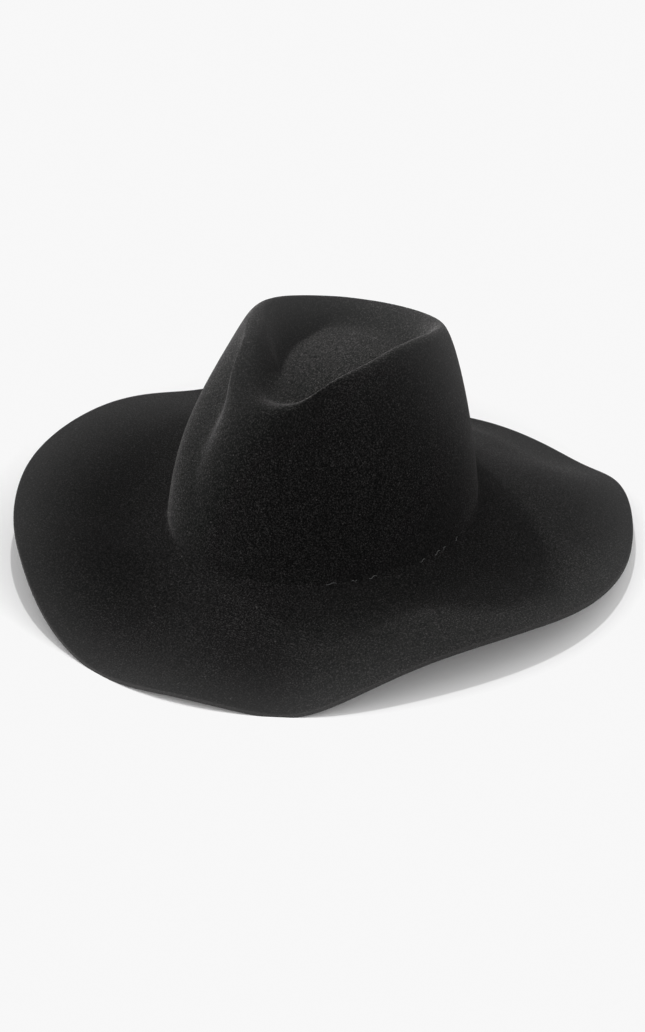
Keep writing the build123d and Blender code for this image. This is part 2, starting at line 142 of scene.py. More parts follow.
def periodic(values, angles):
    """Closed cubic spline through evenly spaced values."""
    n = len(values)
    y = np.array(values, float)
    system = np.eye(n) * 4 + np.roll(np.eye(n), 1, 0) + np.roll(np.eye(n), -1, 0)
    curvature = np.linalg.solve(system, 6 * (np.roll(y, -1) - 2 * y + np.roll(y, 1)))
    place_on = (np.mod(angles, TAU) / TAU) * n
    i = np.floor(place_on).astype(int) % n
    j = (i + 1) % n
    f = place_on - np.floor(place_on)
    return ((1 - f) * y[i] + f * y[j]
            + ((1 - f) ** 3 - (1 - f)) * curvature[i] / 6 + (f ** 3 - f) * curvature[j] / 6)


def smooth(x):
    x = np.clip(x, 0, 1)
    return x * x * (3 - 2 * x)


def bezier(a, b, c, d, t):
    return a * (1 - t) ** 3 + 3 * b * t * (1 - t) ** 2 + 3 * c * t * t * (1 - t) + d * t ** 3


def by_level(values, levels):
    """Parabola through values given at the levels 0.5, 0.75 and 1."""
    u = (levels - 0.5) / 0.25
    return values[0] * (u - 1) * (u - 2) / 2 - values[1] * u * (u - 2) + values[2] * u * (u - 1) / 2


def round_angles(count):
    return np.linspace(0, TAU, count + 1)[:-1]


# ------------------------------------------------------------------ surfaces of the hat
def foot_xy(angles):
    x = HEAD_HALF_WIDTH * np.sin(angles) * (1 - HEAD_EGG * np.cos(angles))
    y = -HEAD_HALF_LENGTH * np.cos(angles)
    scale = waves(angles, HEAD_WAVES)
    return np.stack([x * scale, y * scale], -1)


def foot_curve(angles):
    """Points in plan, heights and outward normals in plan."""
    xy = foot_xy(angles)
    along = foot_xy(angles + 1e-4) - foot_xy(angles - 1e-4)
    normal = unit(np.stack([along[:, 1], -along[:, 0]], -1))
    if (normal * xy).sum() < 0:
        normal = -normal
    z = (FOOT_Z + FOOT_PITCH * xy[:, 1] / 100 + FOOT_ROLL * xy[:, 0] / 100
         + FOOT_SADDLE * np.cos(2 * angles))
    return xy, z, normal


def ridge_curve(angles):
    radius = waves(angles, RIDGE_RADIUS_WAVES)
    xy = np.stack([radius * np.sin(angles) + RIDGE_MIDDLE[0],
                   RIDGE_MIDDLE[1] - radius * np.cos(angles)], -1)
    return xy, FOOT_Z + waves(angles, RIDGE_HEIGHT_WAVES)


def pinch_depth(angles, levels):
    total = np.zeros((len(angles), len(levels)))
    for p in PINCHES:
        middle = np.radians(by_level(p["angles"], levels))
        away = np.mod((angles * p["side"])[:, None] - middle[None, :] + np.pi, TAU) - np.pi
        front = np.maximum(by_level(p["front"], levels), MIN_FRONT_SPREAD)[None, :]
        spread = np.where(away < 0, front, p["back"])
        reach = np.where(levels < p["level"], p["down"], p["up"])
        upright = np.exp(-((levels - p["level"]) / reach) ** 2)[None, :]
        total += p["depth"] * np.exp(-(away / spread) ** 2) * upright
    return total


def wall(angles, levels):
    """Side of the crown; level 0 is the foot, 1 the ridge."""
    foot, foot_z, normal = foot_curve(angles)
    ridge, ridge_z = ridge_curve(angles)
    inward = bezier(0, WALL_BULGE, WALL_LEAN, 1, levels)[None, :, None]
    rise = bezier(0, WALL_RISE, 1, 1, levels)[None, :]
    xy = (foot[:, None, :] + (ridge - foot)[:, None, :] * inward
          - normal[:, None, :] * pinch_depth(angles, levels)[..., None])
    z = foot_z[:, None] + (ridge_z - foot_z)[:, None] * rise
    return np.concatenate([xy, z[..., None]], -1)


def top(angles, shares):
    """Top of the crown; share 0 is the ridge, 1 the middle."""
    rim = wall(angles, np.array([1.0]))[:, 0]
    inward = RIDGE_MIDDLE - rim[:, :2]
    span = np.linalg.norm(inward, axis=1)[:, None]
    xy = rim[:, None, :2] + inward[:, None, :] * shares[None, :, None]
    radius = span * (1 - shares)[None, :]
    crest = np.minimum(periodic(CREST_INNER, angles)[:, None], span - 1.5)
    hollow = np.minimum(periodic(HOLLOW_OUTLINE, angles)[:, None], crest - 3)
    start = crest + CREST_START * (span - crest)
    fall = smooth((start - radius) / (start - hollow))
    x, y = xy[..., 0] - RIDGE_MIDDLE[0], xy[..., 1] - RIDGE_MIDDLE[1]
    floor_z = (FOOT_Z + HOLLOW_HEIGHT + HOLLOW_SLOPE * y
               - HOLLOW_DOME * ((x / DOME_X) ** 2 + (y / DOME_Y) ** 2))
    roll = CREST_ROLL * np.sin(np.pi * np.clip((span - radius) / (span - hollow), 0, 1))
    z = floor_z + (rim[:, 2][:, None] - floor_z) * (1 - fall) + roll * (1 - fall)
    return np.concatenate([xy, z[..., None]], -1)


def brim(angles, shares):
    """Upper side of the brim; share 0 is the foot, 1 the edge."""
    foot, foot_z, normal = foot_curve(angles)
    rise = periodic(BRIM_EDGE_Z, angles) - foot_z
    run = np.sqrt(waves(angles, BRIM_WIDTH_WAVES) ** 2 - rise ** 2)
    climb = BRIM_LINEAR * shares + (1 - BRIM_LINEAR) * smooth(shares)
    dip = BRIM_DIP * np.sin(np.pi * np.minimum(shares * BRIM_DIP_RATE, 1)) ** 2
    xy = foot[:, None, :] + normal[:, None, :] * (run[:, None] * shares[None, :])[..., None]
    z = foot_z[:, None] + rise[:, None] * climb[None, :] - dip[None, :]
    return np.concatenate([xy, z[..., None]], -1)


def blur(grid, rounds, step=1):
    """Average along the section and, with rows a step apart, round the head."""
    for _ in range(rounds):
        mean = grid.copy()
        mean[:, 1:-1] = 0.25 * grid[:, :-2] + 0.5 * grid[:, 1:-1] + 0.25 * grid[:, 2:]
        grid = 0.5 * mean + 0.25 * np.roll(mean, step, 0) + 0.25 * np.roll(mean, -step, 0)
    return grid


def raw_outside():
    """Outside of the felt from the middle of the top to the brim edge."""
    angles = round_angles(ROWS)
    inside = top(angles, np.linspace(1 - POLE_SHARE, 0, TOP_COLUMNS)[:-1])
    side = wall(angles, np.linspace(1, BEND_WALL, WALL_COLUMNS)[:-1])
    above = wall(angles, np.array([BEND_WALL, 0.0]))
    start, corner = above[:, 0], above[:, 1]
    end = brim(angles, np.array([BEND_BRIM]))[:, 0]
    bend = np.stack([(1 - u) ** 2 * start + 2 * u * (1 - u) * corner + u * u * end
                     for u in np.linspace(0, 1, BEND_COLUMNS)], 1)
    flat = brim(angles, np.linspace(BEND_BRIM, 1.0, BRIM_COLUMNS)[1:])
    grid = np.concatenate([inside, side, bend, flat], 1)
    grid[:, 0, 2] = grid[:, 0, 2].mean()
    return grid + SHIFT


def felt_outside():
    """Outside of the felt with the ridge softened but kept at its height."""
    grid = raw_outside()
    from_ridge = np.arange(grid.shape[1]) - TOP_COLUMNS + 2
    weight = np.exp(-(from_ridge / 12.0) ** 2)[None, :, None]
    lost = grid[:, :, 2].max(1)
    grid = grid * (1 - weight) + blur(grid, 26) * weight
    lost = lost - grid[:, :, 2].max(1)
    for _ in range(12):
        lost = 0.5 * lost + 0.25 * np.roll(lost, 1) + 0.25 * np.roll(lost, -1)
    grid[:, :, 2] += lost[:, None] * weight[:, :, 0]
    return grid


def grid_normals(grid):
    round_head = np.roll(grid, -1, 0) - np.roll(grid, 1, 0)
    normal = np.cross(round_head, np.gradient(grid, axis=1))
    normal /= np.linalg.norm(normal, axis=2)[..., None] + 1e-12
    if normal[:, -3, 2].mean() < 0:
        normal = -normal
    return normal


# ------------------------------------------------------------------ meshes
def grid_faces(rows, columns, close_rows=False, close_columns=False):
    return [[i * columns + j,
             i * columns + (j + 1) % columns,
             (i + 1) % rows * columns + (j + 1) % columns,
             (i + 1) % rows * columns + j]
            for i in range(rows if close_rows else rows - 1)
            for j in range(columns if close_columns else columns - 1)]


def tube_faces(rows, columns):
    """Faces of a tube along the rows, with both ends capped."""
    last = (rows - 1) * columns
    caps = [list(range(columns)), [last + j for j in range(columns)][::-1]]
    return grid_faces(rows, columns, close_columns=True) + caps


def fix_normals(obj):
    bm = bmesh.new()
    bm.from_mesh(obj.data)
    bmesh.ops.recalc_face_normals(bm, faces=bm.faces)
    if bm.calc_volume(signed=True) < 0:
        bmesh.ops.reverse_faces(bm, faces=bm.faces)
    bm.to_mesh(obj.data)
    bm.free()
    for polygon in obj.data.polygons:
        polygon.use_smooth = True


def mesh_object(name, points, faces):
    """Smooth-shaded object from points in mm."""
    mesh = bpy.data.meshes.new(name)
    mesh.from_pydata((np.asarray(points) / 1000.0).tolist(), [], faces)
    mesh.validate()
    mesh.update()
    obj = bpy.data.objects.new(name, mesh)
    bpy.context.scene.collection.objects.link(obj)
    fix_normals(obj)
    return obj


def grid_object(name, grid, close_section=False, caps=False):
    """Object from a grid whose rows go round the head and close."""
    rows, columns = grid.shape[:2]
    faces = grid_faces(rows, columns, True, close_section)
    if caps:
        faces.append([i * columns for i in range(rows)])
        faces.append([i * columns + columns - 1 for i in range(rows)][::-1])
    return mesh_object(name, grid.reshape(-1, 3), faces)


def place(obj, material, cad, body="hat"):
    obj.data.materials.append(material)
    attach(obj, body)
    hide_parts(cad)


# ------------------------------------------------------------------ shader helpers
def set_inputs(tree, target, values):
    """Set inputs by name or position; a socket given as a value is linked."""
    for key, value in values.items():
        if isinstance(value, bpy.types.NodeSocket):
            tree.links.new(value, target.inputs[key])
        else:
            target.inputs[key].default_value = value


def add_node(tree, kind, inputs=None, **settings):
    new = tree.nodes.new(kind)
    for name, value in settings.items():
        setattr(new, name, value)
    set_inputs(tree, new, inputs or {})
    return new


def maths(tree, operation, *operands):
    inputs = dict(enumerate(operands))
    return add_node(tree, "ShaderNodeMath", inputs, operation=operation).outputs[0]


def vector_maths(tree, operation, *operands):
    inputs = dict(enumerate(operands))
    return add_node(tree, "ShaderNodeVectorMath", inputs, operation=operation).outputs


def texture(tree, kind, coords, **inputs):
    return add_node(tree, "ShaderNodeTex" + kind, {"Vector": coords, **inputs}).outputs


def map_range(tree, value, source=(0.0, 1.0), target=(0.0, 1.0)):
    return add_node(tree, "ShaderNodeMapRange", {
        "Value": value, "From Min": source[0], "From Max": source[1],
        "To Min": target[0], "To Max": target[1]}).outputs["Result"]


def mix_color(tree, factor, low, high):
    inputs = {0: factor, 6: (*low, 1), 7: (*high, 1)}
    return add_node(tree, "ShaderNodeMix", inputs, data_type="RGBA").outputs[2]


def combine(tree, channels):
    return add_node(tree, "ShaderNodeCombineColor", dict(enumerate(channels))).outputs[0]


def bump(tree, height, strength, distance):
    return add_node(tree, "ShaderNodeBump", {
        "Height": height, "Strength": strength, "Distance": distance}).outputs["Normal"]


def object_coords(tree):
    return add_node(tree, "ShaderNodeTexCoord").outputs["Object"]


def new_material(name):
    material = bpy.data.materials.new(name)
    material.use_nodes = True
    tree = material.node_tree
    return material, tree, tree.nodes.get("Principled BSDF")


# ------------------------------------------------------------------ materials
def felt_material():
    albedo = 0.00132           # base brightness that the others multiply
    fibre_gain = 15.0          # brightest fibres
    lint_gain = 14.0           # specks of lint
    cut_edge_highlight_gain = 8.0            # painted highlight on the raw cut edge
    painted_sheen_gain, painted_sheen_power = 5.0, 4.0    # painted sheen: colour made lighter where the surface is seen edge-on
    tint = (1.03, 0.985, 0.975)

    material, tree, bsdf = new_material("black_felt")
    coords = object_coords(tree)
    fine = texture(tree, "Noise", coords, Scale=1150.0, Detail=1.5, Roughness=0.8)["Fac"]
    middle = texture(tree, "Noise", coords, Scale=260.0, Detail=3.0, Roughness=0.6)["Fac"]
    broad = texture(tree, "Noise", coords, Scale=22.0, Detail=3.0, Roughness=0.55)["Fac"]
    cells = texture(tree, "Voronoi", coords, Scale=190.0)

    # painted sheen: the base colour grows lighter towards an edge-on view
    facing = add_node(tree, "ShaderNodeLayerWeight", {"Blend": 0.5}).outputs["Facing"]
    painted_sheen = maths(tree, "MULTIPLY_ADD", maths(tree, "POWER", facing, painted_sheen_power), painted_sheen_gain, 1.0)

    speckle = maths(tree, "POWER", map_range(tree, fine, source=(0.34, 0.76)), 2.3)
    fibres = map_range(tree, speckle, target=(0.0, albedo * fibre_gain))
    patches = map_range(tree, broad, source=(0.3, 0.7), target=(0.86, 1.14))
    value = maths(tree, "MULTIPLY", maths(tree, "MULTIPLY", fibres, patches), painted_sheen)

    # specks of lint: the cores of a few cells
    core = maths(tree, "LESS_THAN", cells["Distance"], 0.085)
    split = add_node(tree, "ShaderNodeSeparateColor", {0: cells["Color"]})
    chosen = maths(tree, "GREATER_THAN", split.outputs[0], 0.86)
    lint = maths(tree, "MULTIPLY", core, chosen)
    value = maths(tree, "MULTIPLY_ADD", lint, albedo * lint_gain, value)

    # the raw cut edge is furrier; its colour is made lighter as a painted highlight for the light it
    # catches
    edge = add_node(tree, "ShaderNodeAttribute", attribute_name="edge").outputs["Fac"]
    value = maths(tree, "MULTIPLY_ADD", edge, albedo * cut_edge_highlight_gain, value)

    height = maths(tree, "ADD", fine, maths(tree, "MULTIPLY", middle, 0.6))
    set_inputs(tree, bsdf, {
        "Base Color": combine(tree, [maths(tree, "MULTIPLY", value, k) for k in tint]),
        "Roughness": 1.0,
        "Specular IOR Level": 0.03,
        "Sheen Weight": 0.004,
        "Sheen Roughness": 0.35,
        "Normal": bump(tree, height, strength=0.45, distance=0.0005)})
    return material


def reed_material():
    color = (0.55, 0.54, 0.50)
    material, tree, bsdf = new_material("reed_plastic")
    mottle = texture(tree, "Noise", object_coords(tree),
                     Scale=300, Detail=4.0, Roughness=0.6)["Fac"]
    low = [c * 0.8 for c in color]
    high = [min(1, c * 1.25) for c in color]
    set_inputs(tree, bsdf, {
        "Base Color": mix_color(tree, mottle, low, high),
        "Roughness": 0.38,
        "Normal": bump(tree, mottle, strength=0.1, distance=0.0002)})
    return material


def weave(name, color, rough, pitch, relief, sheen=0.1, spec=0.3, bands=("X", "Z")):
    """Cloth with one or two sets of yarns; the wave repeats every two pitches (mm)."""
    material, tree, bsdf = new_material(name)
    coords = object_coords(tree)
    yarns = []
    for axis in bands:
        yarn = add_node(tree, "ShaderNodeTexWave", {
            "Vector": coords, "Scale": 1.0 / (pitch / 1000.0) / 20.0 * 3.1416,
            "Distortion": 0.6, "Detail": 1.0}, bands_direction=axis)
        yarns.append(yarn.outputs["Fac"])
    height = maths(tree, "MAXIMUM", *yarns) if len(yarns) == 2 else yarns[0]
    mottle = texture(tree, "Noise", coords, Scale=60.0, Detail=4.0)["Fac"]
    low = [c * 0.6 for c in color]
    high = [min(1, c * 1.5) for c in color]
    set_inputs(tree, bsdf, {
        "Base Color": mix_color(tree, maths(tree, "MULTIPLY", height, mottle), low, high),
        "Roughness": rough,
        "Specular IOR Level": spec,
        "Sheen Weight": sheen,
        "Normal": bump(tree, height, strength=relief, distance=0.00015)})
    return material


def leather_material():
    material, tree, bsdf = new_material("band_leather")
    coords = object_coords(tree)
    grain = texture(tree, "Voronoi", coords, Scale=900.0)["Distance"]
    mottle = texture(tree, "Noise", coords, Scale=45.0, Detail=6.0, Roughness=0.65)["Fac"]
    crease = texture(tree, "Noise", coords, Scale=260.0, Detail=3.0, Distortion=1.5)["Fac"]
    height = maths(tree, "ADD", grain, crease)
    set_inputs(tree, bsdf, {
        "Base Color": mix_color(tree, mottle, (0.014, 0.010, 0.008), (0.045, 0.032, 0.024)),
        "Roughness": map_range(tree, crease, target=(0.34, 0.58)),
        "Normal": bump(tree, height, strength=0.35, distance=0.0002)})
    return material


# ------------------------------------------------------------------ felt body
def felt_inside(outside, normal):
    """Inside of the felt: a coarser grid pushed off the outside until a felt thickness away."""
    row_step, column_step = 3, 2
    count = outside.shape[1]
    columns = np.unique(np.concatenate([np.arange(0, count, column_step), [count - 1]]))
    shell = BVHTree.FromPolygons(outside[::2].reshape(-1, 3).tolist(),
                                 grid_faces(ROWS // 2, count, close_rows=True))
    start = outside[::row_step][:, columns]
    start_normal = normal[::row_step][:, columns]
    # 1 on the crown, 0 low on the wall and on the brim
    crown = (1 - smooth((columns - (TOP_COLUMNS + WALL_COLUMNS * 0.55)) / 14.0))[None, :, None]
    push = unit(blur(start_normal, 24, 2) * crown + start_normal * (1 - crown))
    points = start - push * FELT
    active = [j for j in np.where(crown[0, :, 0] > 0.02)[0] if j >= 3]
    for turn in range(6):
        for j in active:
            for i in range(points.shape[0]):
                distance = shell.find_nearest(Vector(points[i, j]))[3]
                if distance < FELT:
                    points[i, j] -= push[i, j] * crown[0, j, 0] * (FELT - distance)
        if turn < 4:
            weight = 0.5 * crown
            weight[:, :5] = 0
            points = points * (1 - weight) + blur(points, 1) * weight
    # back to the full count round the head
    row = np.arange(ROWS) / row_step
    before = np.floor(row).astype(int) % points.shape[0]
    share = (row - np.floor(row))[:, None, None]
    inside = points[before] * (1 - share) + points[(before + 1) % points.shape[0]] * share
    for j in (-1, -2):
        inside[:, j] = outside[:, columns[j]] - normal[:, columns[j]] * FELT
    inside[:, 0, 2] = inside[:, 0, 2].mean()
    return inside


def felt_body(outside, normal):
    inside = felt_inside(outside, normal)
    last, down = outside[:, -1], normal[:, -1]
    outward = unit(last - outside[:, -2])
    edge = [last + outward * (CORNER_RADIUS * a) - down * (CORNER_RADIUS * k)
            for a, k in CORNER]
    edge += [last + outward * (CORNER_RADIUS * a) - down * (FELT - CORNER_RADIUS * k)
             for a, k in CORNER[::-1]]
    ring = np.concatenate([outside[:, :-1], np.stack(edge, 1), inside[:, ::-1][:, 1:]], 1)
    ring[..., 2] = np.maximum(ring[..., 2], 0.0)
    obj = grid_object("felt_body_visual", ring, caps=True)
    # marks the cut edge for the material's painted highlight
    first = outside.shape[1] - 1
    final = first + len(edge) - 1
    mark = np.zeros(ring.shape[:2])
    mark[:, first + 1:final] = 1.0
    mark[:, [first, final]] = 0.4
    attribute = obj.data.attributes.new("edge", "FLOAT", "POINT")
    attribute.data.foreach_set("value", mark.reshape(-1))
    return obj


outside_grid = felt_outside()
outside_normals = grid_normals(outside_grid)
place(felt_body(outside_grid, outside_normals), felt_material(), "felt_body")

# ------------------------------------------------------------------ soft parts inside the crown
# Sections are (depth inside the outer face of the felt, height above the foot), in mm.
BAND_BACK = FELT + 1.5                 # sweatband face towards the felt
FACE = BAND_BACK + 1.0                 # sweatband face towards the head
BAND_TOP, BAND_BOTTOM = 38.0, 3.3
REED_RADIUS = 0.8
TAPE = 0.35                            # thickness of the reed tape
TAPE_BACK = FELT + 0.85
REED_MIDDLE = (TAPE_BACK + REED_RADIUS + TAPE + 0.05, 1.7)
REED_GAP = 0.05                        # between the reed and its tape
LINING = 0.3
LINING_SIDE = [(3.1, 12.0), (3.1, 17.0), (3.1, 22.0), (3.1, 27.0), (3.1, 32.0),
               (3.12, 36.0), (3.15, 39.0), (3.7, 42.0), (4.6, 45.0), (5.8, 48.5),
               (7.2, 52.0), (8.7, 55.2), (10.5, 58.5), (12.0, 60.6), (13.5, 62.3)]
RIBBON_HALF = 0.17                     # half thickness of the bow's ribbon
HEAD_RADIUS = 95.0                     # turns lengths round the head into angles
CARE_ANGLE = 150.0
CARE_TOP, CARE_LENGTH, CARE_HALF_WIDTH = 36.4, 22.0, 10.0
rng = np.random.default_rng(7)

Stitch = namedtuple("Stitch", "start end normal radius lift wiggle")


def arc_degrees(length):
    return math.degrees(length / HEAD_RADIUS)


def at_height(angles, heights, depths):
    """Points inside the felt; heights and depths are (angles, points)."""
    heights = np.broadcast_to(heights, (len(angles), np.shape(heights)[-1]))
    depths = np.broadcast_to(depths, heights.shape)
    _, foot_z, normal = foot_curve(angles)
    side = wall(angles, np.linspace(0, 1, 161))
    points = np.zeros(heights.shape + (3,))
    for i in range(len(angles)):
        z = foot_z[i] + heights[i]
        for axis in (0, 1):
            points[i, :, axis] = (np.interp(z, side[i, :, 2], side[i, :, axis])
                                  - normal[i, axis] * depths[i])
        points[i, :, 2] = z
    return points + SHIFT


def row_at(degrees, height, depth):
    """One point for each angle in degrees."""
    return at_height(np.radians(degrees), [[height]], [[depth]])[:, 0]


def arc(middle, radius, start, end, count):
    return [(middle[0] + radius * math.cos(a), middle[1] + radius * math.sin(a))
            for a in np.radians(np.linspace(start, end, count))]


def hoop(name, section, rows, wave=None):
    """Closed band round the head; wave(angles, heights) gives shifts of depth and height."""
    angles = round_angles(rows)
    depths, heights = (np.array(column)[None, :].repeat(rows, 0) for column in zip(*section))
    if wave is not None:
        deeper, higher = wave(angles[:, None], heights)
        depths, heights = depths + deeper, heights + higher
    return grid_object(name, at_height(angles, heights, depths), close_section=True)


def sweep(name, path, thick, width, half_thick, half_width, closed=False):
    """Strip with softened edges along a path; thick and width are directions."""
    half_width = np.broadcast_to(half_width, (len(path),))
    soft = min(half_thick * 0.8, 0.15)
    # side in thickness, side in width, then which of thickness and width is trimmed
    corners = [(1, -1, 1, 0), (1, -1, 0, 1), (1, 1, 0, 1), (1, 1, 1, 0),
               (-1, 1, 1, 0), (-1, 1, 0, 1), (-1, -1, 0, 1), (-1, -1, 1, 0)]
    lines = [path + thick * (side_t * (half_thick - soft * trim_t))
             + width * (side_w * (half_width - soft * trim_w))[:, None]
             for side_t, side_w, trim_t, trim_w in corners]
    grid = np.stack(lines, 1)
    rows, columns = grid.shape[:2]
    faces = grid_faces(rows, columns, True, True) if closed else tube_faces(rows, columns)
    return mesh_object(name, grid.reshape(-1, 3), faces)


THREAD_SIDES, THREAD_STEPS = 8, 9
THREAD_FACES = tube_faces(THREAD_STEPS, THREAD_SIDES)


def threads(name, stitches):
    """Short sewn threads, each diving into the material at both ends."""
    u = np.linspace(0, 1, THREAD_STEPS)
    across = 2 * u - 1
    turn = round_angles(THREAD_SIDES)[:, None]
    points, faces = [], []
    for k, stitch in enumerate(stitches):
        run = stitch.end - stitch.start
        along = unit(run)
        side = unit(np.cross(stitch.normal, along))
        rise = np.cross(along, side)
        lift = stitch.lift * (1 - across ** 4) - 1.1 * stitch.radius * across ** 6
        sway = stitch.wiggle * np.sin(2.2 * np.pi * u)
        middle = stitch.start + run * u[:, None] + rise * lift[:, None] + side * sway[:, None]
        radii = np.full(THREAD_STEPS, stitch.radius)
        radii[[0, -1]] *= 0.55
        ring = side * np.cos(turn) + rise * np.sin(turn)
        points.append((middle[:, None] + ring[None] * radii[:, None, None]).reshape(-1, 3))
        base = k * THREAD_STEPS * THREAD_SIDES
        faces += [[base + corner for corner in face] for face in THREAD_FACES]
    return mesh_object(name, np.concatenate(points), faces)


SATIN = dict(color=(0.030, 0.030, 0.034), rough=0.32, pitch=0.35, relief=0.25, sheen=0.15,
             spec=0.6)
satin_side = weave("lining_satin", bands=("Z",), **SATIN)
satin_tip = weave("lining_satin_tip", bands=("Y",), **SATIN)
tape_cloth = weave("tape_cloth", (0.025, 0.025, 0.027), rough=0.8, pitch=0.9, relief=0.6)
ribbon = weave("bow_ribbon", (0.022, 0.022, 0.025), rough=0.42, pitch=0.8, relief=0.7,
               sheen=0.2, spec=0.5, bands=("Z",))
label_cloth = weave("label_cloth", (0.55, 0.54, 0.50), rough=0.75, pitch=0.5, relief=0.4)
thread_black = weave("thread_black", (0.02, 0.02, 0.022), rough=0.6, pitch=0.45, relief=0.8)
# darker copy of the black thread, without sheen, for the stitches sunk in the crease: painted shade
thread_painted_shade = weave("thread_painted_shade", (0.006, 0.006, 0.006), rough=0.8, pitch=0.45, relief=0.4,
                    sheen=0.0, spec=0.05)
# paler copy of the same thread for the loose ends: painted light
thread_grey = weave("thread_grey", (0.03, 0.03, 0.03), rough=0.6, pitch=0.4, relief=0.8)
piping = weave("piping_cord", (0.035, 0.035, 0.038), rough=0.38, pitch=0.5, relief=0.4,
               sheen=0.15)
reed_plastic = reed_material()


def band_wave(angles, heights):
    """Waviness growing upwards; its depth part fades near the rear joint and the labels."""
    clear = smooth((np.abs(np.degrees(np.mod(angles, TAU)) - 178) - 42) / 20.0)
    grow = (heights / BAND_TOP) ** 2
    slow = 0.5 + 0.5 * np.sin(5 * angles + 1.3)
    quick = 0.6 + 0.4 * np.sin(11 * angles)
    return -0.32 * clear * grow * slow * quick, 0.25 * np.sin(3 * angles + 0.4) * grow


def sweatband():
    heights = np.linspace(BAND_BOTTOM + 0.3, BAND_TOP - 0.4, 13)
    section = [(BAND_BACK, h) for h in heights]
    section += [(BAND_BACK + 0.15, BAND_TOP - 0.1), (BAND_BACK + 0.5, BAND_TOP),
                (BAND_BACK + 0.85, BAND_TOP - 0.1)]
    section += [(FACE, h) for h in heights[::-1]]
    section += [(BAND_BACK + 0.85, BAND_BOTTOM + 0.05), (BAND_BACK + 0.5, BAND_BOTTOM),
                (BAND_BACK + 0.15, BAND_BOTTOM + 0.05)]
    return hoop("sweatband_visual", section, 360, band_wave)


def tape_wave(angles, heights):
    return 0, 0.22 * smooth((heights - 6) / 3) * np.sin(37 * angles) * np.sin(9 * angles)


def reed_tape():
    """Tape folded round the reed, with one flap up the felt."""
    inner = REED_RADIUS + REED_GAP
    section = [(TAPE_BACK, h) for h in (9.0, 7.0, 5.0, 3.0)]
    section += arc(REED_MIDDLE, inner + TAPE, 180, 380, 18)
    section += arc(REED_MIDDLE, inner, 380, 180, 18)
    section += [(TAPE_BACK + TAPE, h) for h in (3.0, 5.0, 7.0, 9.0)]
    return hoop("reed_tape_visual", section, 360, tape_wave)


def gathers(angles, heights):
    grow = smooth((heights - 30) / 30)
    folds = (0.55 * np.sin(31 * angles + 2 * np.sin(3 * angles))
             + 0.3 * np.sin(57 * angles + 1.1) + 0.25 * np.sin(13 * angles + 0.5))
    return 0.55 * grow * (folds + 0.6), 0.0


def lining_side():
    back = [(d + LINING, h - 0.05) for d, h in LINING_SIDE[::-1]]
    return hoop("lining_side_visual", LINING_SIDE + back, 720, gathers)


def piping_cord():
    """Two-lobed cord whose lobes twist round it."""
    rows, sides, twist = 1440, 12, 72
    angles = round_angles(rows)
    middle = at_height(angles, [[61.8]], [[14.25]])[:, 0]
    along = unit(np.roll(middle, -1, 0) - np.roll(middle, 1, 0))
    side = unit(np.cross(along, Z_UP))
    rise = np.cross(side, along)
    turn = round_angles(sides)[None, :]
    radius = 0.60 + 0.15 * np.abs(np.cos(turn + twist * angles[:, None]))
    ring = side[:, None] * np.cos(turn)[..., None] + rise[:, None] * np.sin(turn)[..., None]
    grid = middle[:, None] + ring * radius[..., None]
    return grid_object("piping_visual", grid, close_section=True)


def lining_tip():
    """Oval satin piece across the top of the lining, puffed and pleated."""
    angles = round_angles(288)
    rim = at_height(angles, [[63.2]], [[15.1]])[:, 0]
    middle = rim.mean(0) - np.array([0, 0, 3.0])
    share = np.concatenate([np.linspace(0.02, 0.9, 26), [0.95, 1.0]])[None, :]
    upper = middle + (rim - middle)[:, None] * share[..., None]
    upper[..., 2] = middle[2] + (rim[:, None, 2] - middle[2]) * smooth(share)
    x, y = upper[..., 0], upper[..., 1]
    puff = (0.5 * np.sin(x / 17 + 0.3) * np.cos(y / 23) + 0.25 * np.sin((x + y) / 7.5)
            + 0.15 * np.sin((x - 2 * y) / 9.0))
    folds = np.sin(31 * angles + 2 * np.sin(3 * angles)) + 0.5 * np.sin(57 * angles)
    pleat = 0.35 * smooth((share - 0.55) / 0.4) * folds[:, None]
    upper[..., 2] += (puff * (1 - share ** 4) + pleat * (1 - 0.6 * share)) * 0.8
    lower = upper.copy()
    lower[..., 2] -= LINING
    return grid_object("lining_tip_visual", np.concatenate([upper, lower[:, ::-1]], 1), caps=True)


def sheet(name, angles, heights, depth, half_thick, pucker=0.0):
    """Small cloth rectangle between two angles (degrees) and two heights."""
    rows, columns = 17, 13
    turn = np.radians(np.linspace(*angles, rows))
    height = np.linspace(*heights, columns)[None, :]
    ripple = pucker * np.abs(np.sin(np.linspace(0, np.pi * 4, columns)))[None, :]
    sides = [at_height(turn, height, depth + offset + ripple).reshape(-1, 3)
             for offset in (half_thick, -half_thick)]
    other = rows * columns
    faces = []
    for face in grid_faces(rows, columns):
        faces += [face, [other + corner for corner in face[::-1]]]
    borders = [(i * columns + j, (i + 1) * columns + j)
               for i in range(rows - 1) for j in (0, columns - 1)]
    borders += [(i * columns + j, i * columns + j + 1)
                for j in range(columns - 1) for i in (0, rows - 1)]
    faces += [[a, b, other + b, other + a] for a, b in borders]
    return mesh_object(name, np.concatenate(sides), faces)


def band_stitch(angle, height, length, lean=0.0, wiggle=0.02):
    """Stitch on the sweatband, centred at an angle (degrees); lean is rise per run."""
    before, middle, after = row_at([angle - 0.4, angle, angle + 0.4], height, FACE + 0.12)
    along = unit(unit(after - before) + Z_UP * lean)
    normal = np.cross(along, Z_UP)
    if normal @ (np.array([0, -5.0, middle[2]]) - middle) < 0:
        normal = -normal
    half = along * length / 2
    return Stitch(middle - half, middle + half, unit(normal), 0.2, 0.14, wiggle)


